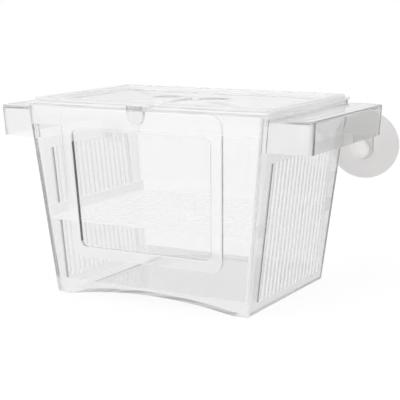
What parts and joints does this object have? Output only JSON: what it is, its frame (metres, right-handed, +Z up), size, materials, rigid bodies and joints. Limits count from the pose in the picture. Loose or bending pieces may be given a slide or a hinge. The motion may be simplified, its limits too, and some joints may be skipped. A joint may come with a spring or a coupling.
{
  "type": "fish breeding box",
  "caption": "Clear tapered fish breeding box with end floats, slotted end walls, lift-off lid, separator shelf and a suction cup.",
  "frame": {"origin": "at the height of the feet, under the middle of the tub", "axes": "+X along the box towards the float that carries the suction cup, +Y towards the back, where the cup faces the glass, +Z up"},
  "size_m": [0.2087, 0.1302, 0.1142],
  "materials": {
    "tub_clear": "clear polystyrene, polished",
    "lid_clear": "clear polystyrene, polished",
    "shelf_clear": "clear polystyrene, polished",
    "cup_vinyl": "soft translucent vinyl"
  },
  "bodies": {
    "tub": {"tub": "tub_clear"},
    "lid": {"lid": "lid_clear"},
    "separator": {"separator_shelf": "shelf_clear"},
    "cup": {"suction_cup": "cup_vinyl"}
  },
  "joints": [
    {"name": "lid_lift", "type": "slide", "parent": "tub", "child": "lid", "axis": [0, 0, 1], "range_m": [0, 0.06]},
    {"name": "separator_lift", "type": "slide", "parent": "tub", "child": "separator", "axis": [0, 0, 1], "range_m": [0, 0.045]},
    {"name": "cup_swivel", "type": "hinge", "parent": "tub", "child": "cup", "pos_m": [0.0875, 0.0503, 0.0822], "axis": [0, 1, 0], "continuous": true}
  ]
}
